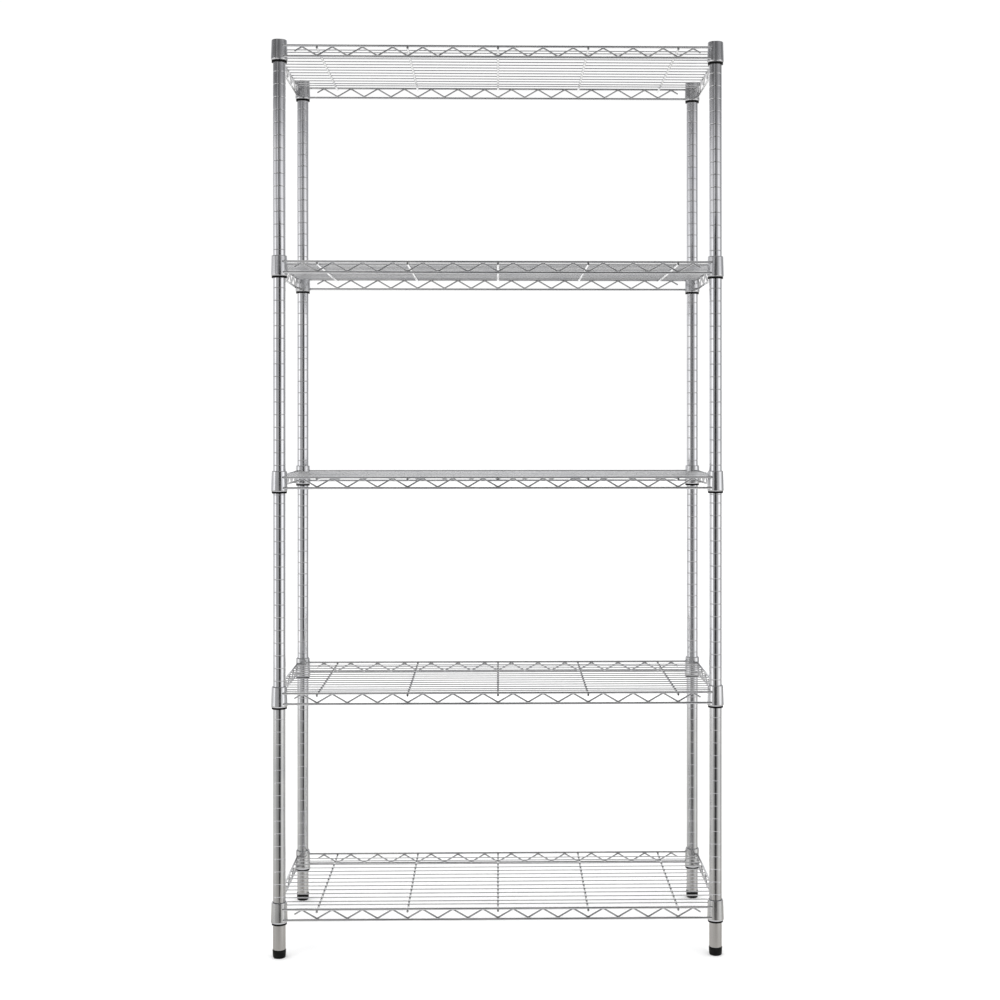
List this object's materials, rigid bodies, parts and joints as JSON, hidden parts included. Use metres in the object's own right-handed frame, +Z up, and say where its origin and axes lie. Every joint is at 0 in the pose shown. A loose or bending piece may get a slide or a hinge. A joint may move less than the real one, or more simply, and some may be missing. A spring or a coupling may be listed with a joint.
{
  "type": "wire shelving rack",
  "caption": "Free-standing chrome wire shelving rack on grooved tube posts, with welded wire decks that seat on tapered split sleeves and levelling feet.",
  "frame": {"origin": "on the floor, at the centre of the four posts", "axes": "+Z up the posts, +X to the right along the shelves, +Y to the rear; the front faces -Y"},
  "size_m": [0.9108, 0.4048, 1.839],
  "materials": {
    "chrome_tube": "polished chrome plate on steel tube",
    "chrome_collar": "polished chrome plate on steel",
    "chrome_wire": "bright chrome plate on steel wire",
    "sleeve_plastic": "moulded black plastic",
    "foot_plastic": "moulded black plastic",
    "cap_plastic": "moulded black plastic",
    "zinc_steel": "zinc-plated steel"
  },
  "bodies": {
    "posts": {"front_left_lower_post": "chrome_tube", "front_left_upper_post": "chrome_tube", "front_right_lower_post": "chrome_tube", "front_right_upper_post": "chrome_tube", "rear_left_lower_post": "chrome_tube", "rear_left_upper_post": "chrome_tube", "rear_right_lower_post": "chrome_tube", "rear_right_upper_post": "chrome_tube", "post_caps": "cap_plastic", "post_couplers": "zinc_steel", "coupler_nuts": "zinc_steel", "foot_inserts": "zinc_steel", "shelf_1_left_sleeves": "sleeve_plastic", "shelf_1_right_sleeves": "sleeve_plastic", "shelf_2_left_sleeves": "sleeve_plastic", "shelf_2_right_sleeves": "sleeve_plastic", "shelf_3_left_sleeves": "sleeve_plastic", "shelf_3_right_sleeves": "sleeve_plastic", "shelf_4_left_sleeves": "sleeve_plastic", "shelf_4_right_sleeves": "sleeve_plastic", "shelf_5_left_sleeves": "sleeve_plastic", "shelf_5_right_sleeves": "sleeve_plastic"},
    "shelf_1": {"shelf_1_collars": "chrome_collar", "shelf_1_top_rails": "chrome_wire", "shelf_1_bottom_rails": "chrome_wire", "shelf_1_zigzag_wires": "chrome_wire", "shelf_1_cross_ribs": "chrome_wire", "shelf_1_deck_wires": "chrome_wire"},
    "shelf_2": {"shelf_2_collars": "chrome_collar", "shelf_2_top_rails": "chrome_wire", "shelf_2_bottom_rails": "chrome_wire", "shelf_2_zigzag_wires": "chrome_wire", "shelf_2_cross_ribs": "chrome_wire", "shelf_2_deck_wires": "chrome_wire"},
    "shelf_3": {"shelf_3_collars": "chrome_collar", "shelf_3_top_rails": "chrome_wire", "shelf_3_bottom_rails": "chrome_wire", "shelf_3_zigzag_wires": "chrome_wire", "shelf_3_cross_ribs": "chrome_wire", "shelf_3_deck_wires": "chrome_wire"},
    "shelf_4": {"shelf_4_collars": "chrome_collar", "shelf_4_top_rails": "chrome_wire", "shelf_4_bottom_rails": "chrome_wire", "shelf_4_zigzag_wires": "chrome_wire", "shelf_4_cross_ribs": "chrome_wire", "shelf_4_deck_wires": "chrome_wire"},
    "shelf_5": {"shelf_5_collars": "chrome_collar", "shelf_5_top_rails": "chrome_wire", "shelf_5_bottom_rails": "chrome_wire", "shelf_5_zigzag_wires": "chrome_wire", "shelf_5_cross_ribs": "chrome_wire", "shelf_5_deck_wires": "chrome_wire"},
    "front_left_foot": {"front_left_foot_pad": "foot_plastic", "front_left_foot_stud": "zinc_steel"},
    "front_right_foot": {"front_right_foot_pad": "foot_plastic", "front_right_foot_stud": "zinc_steel"},
    "rear_left_foot": {"rear_left_foot_pad": "foot_plastic", "rear_left_foot_stud": "zinc_steel"},
    "rear_right_foot": {"rear_right_foot_pad": "foot_plastic", "rear_right_foot_stud": "zinc_steel"}
  },
  "joints": [
    {"name": "shelf_1_lift", "type": "slide", "parent": "posts", "child": "shelf_1", "axis": [0, 0, 1], "range_m": [0, 0.381]},
    {"name": "shelf_2_lift", "type": "slide", "parent": "posts", "child": "shelf_2", "axis": [0, 0, 1], "range_m": [0, 0.381]},
    {"name": "shelf_3_lift", "type": "slide", "parent": "posts", "child": "shelf_3", "axis": [0, 0, 1], "range_m": [0, 0.381]},
    {"name": "shelf_4_lift", "type": "slide", "parent": "posts", "child": "shelf_4", "axis": [0, 0, 1], "range_m": [0, 0.381]},
    {"name": "shelf_5_lift", "type": "slide", "parent": "posts", "child": "shelf_5", "axis": [0, 0, 1], "range_m": [0, 0.1]},
    {"name": "front_left_foot_screw", "type": "slide", "parent": "posts", "child": "front_left_foot", "axis": [0, 0, -1], "range_m": [0, 0.012]},
    {"name": "front_right_foot_screw", "type": "slide", "parent": "posts", "child": "front_right_foot", "axis": [0, 0, -1], "range_m": [0, 0.012]},
    {"name": "rear_left_foot_screw", "type": "slide", "parent": "posts", "child": "rear_left_foot", "axis": [0, 0, -1], "range_m": [0, 0.012]},
    {"name": "rear_right_foot_screw", "type": "slide", "parent": "posts", "child": "rear_right_foot", "axis": [0, 0, -1], "range_m": [0, 0.012]}
  ]
}
